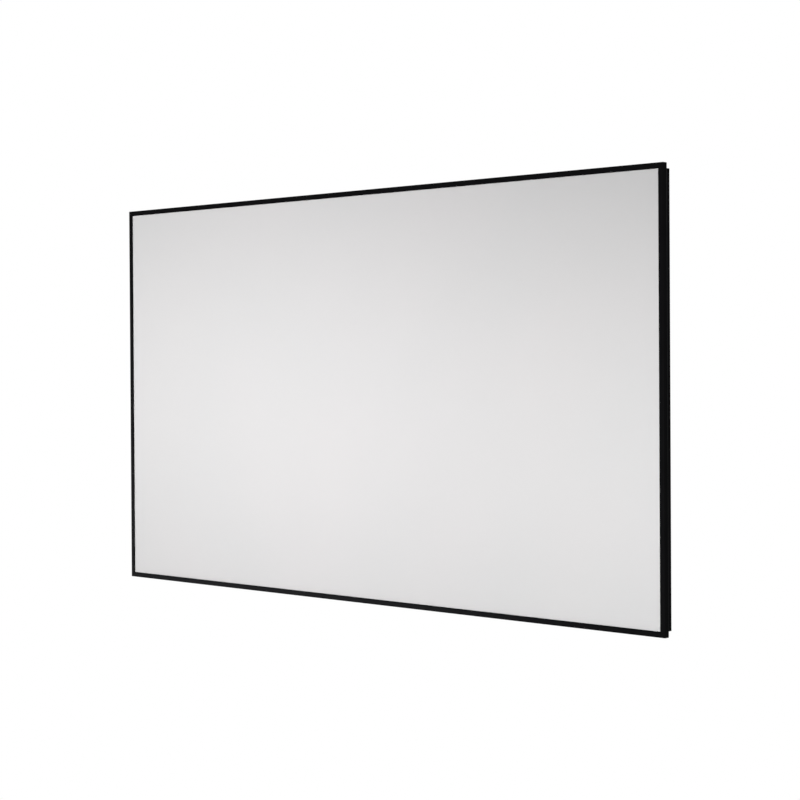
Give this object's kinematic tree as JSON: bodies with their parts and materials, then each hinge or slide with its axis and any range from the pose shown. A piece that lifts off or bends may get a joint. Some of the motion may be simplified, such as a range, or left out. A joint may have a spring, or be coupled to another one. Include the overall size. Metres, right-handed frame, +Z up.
{
  "type": "fixed frame projector screen",
  "caption": "Fixed frame projector screen: a matt white sheet pulled flat by sprung rods inside a thin stepped black frame that hangs on wall brackets.",
  "frame": {"origin": "centre of the bounding box, brackets included", "axes": "+X along the width, to the right seen from the picture side; +Y from the picture side towards the wall; +Z up"},
  "size_m": [2.2464, 0.053, 1.2774],
  "materials": {
    "trim_black": "satin",
    "rail_black": "satin",
    "screen_white": "matte",
    "black_pvc": "matte",
    "black_plastic": "matte",
    "zinc_steel": "satin",
    "screw_steel": "satin",
    "spring_steel": "satin"
  },
  "bodies": {
    "root": {"bezel_bottom_left": "trim_black", "bezel_bottom_right": "trim_black", "bezel_key_bottom_left": "black_plastic", "bezel_key_bottom_right": "black_plastic", "bezel_key_top_left": "black_plastic", "bezel_key_top_right": "black_plastic", "bezel_left": "trim_black", "bezel_right": "trim_black", "bezel_splice_key_bottom": "black_plastic", "bezel_splice_key_top": "black_plastic", "bezel_top_left": "trim_black", "bezel_top_right": "trim_black", "brace_shoe_bottom": "black_plastic", "brace_shoe_top": "black_plastic", "centre_brace": "rail_black", "corner_bracket_bottom_left": "zinc_steel", "corner_bracket_bottom_right": "zinc_steel", "corner_bracket_top_left": "zinc_steel", "corner_bracket_top_right": "zinc_steel", "corner_screw_bottom_left_1": "screw_steel", "corner_screw_bottom_left_2": "screw_steel", "corner_screw_bottom_left_3": "screw_steel", "corner_screw_bottom_left_4": "screw_steel", "corner_screw_bottom_right_1": "screw_steel", "corner_screw_bottom_right_2": "screw_steel", "corner_screw_bottom_right_3": "screw_steel", "corner_screw_bottom_right_4": "screw_steel", "corner_screw_top_left_1": "screw_steel", "corner_screw_top_left_2": "screw_steel", "corner_screw_top_left_3": "screw_steel", "corner_screw_top_left_4": "screw_steel", "corner_screw_top_right_1": "screw_steel", "corner_screw_top_right_2": "screw_steel", "corner_screw_top_right_3": "screw_steel", "corner_screw_top_right_4": "screw_steel", "edge_strip_bottom": "black_pvc", "edge_strip_left": "black_pvc", "edge_strip_right": "black_pvc", "edge_strip_top": "black_pvc", "projection_sheet": "screen_white", "rail_bottom_left": "rail_black", "rail_bottom_right": "rail_black", "rail_left": "rail_black", "rail_right": "rail_black", "rail_top_left": "rail_black", "rail_top_right": "rail_black", "shoe_screw_bottom_1": "screw_steel", "shoe_screw_bottom_2": "screw_steel", "shoe_screw_top_1": "screw_steel", "shoe_screw_top_2": "screw_steel", "splice_plate_bottom": "zinc_steel", "splice_plate_top": "zinc_steel", "tension_rod_bottom": "spring_steel", "tension_rod_left": "spring_steel", "tension_rod_right": "spring_steel", "tension_rod_top": "spring_steel", "wall_bracket_bottom_left": "zinc_steel", "wall_bracket_bottom_right": "zinc_steel", "wall_bracket_top_left": "zinc_steel", "wall_bracket_top_right": "zinc_steel"}
  },
  "joints": []
}
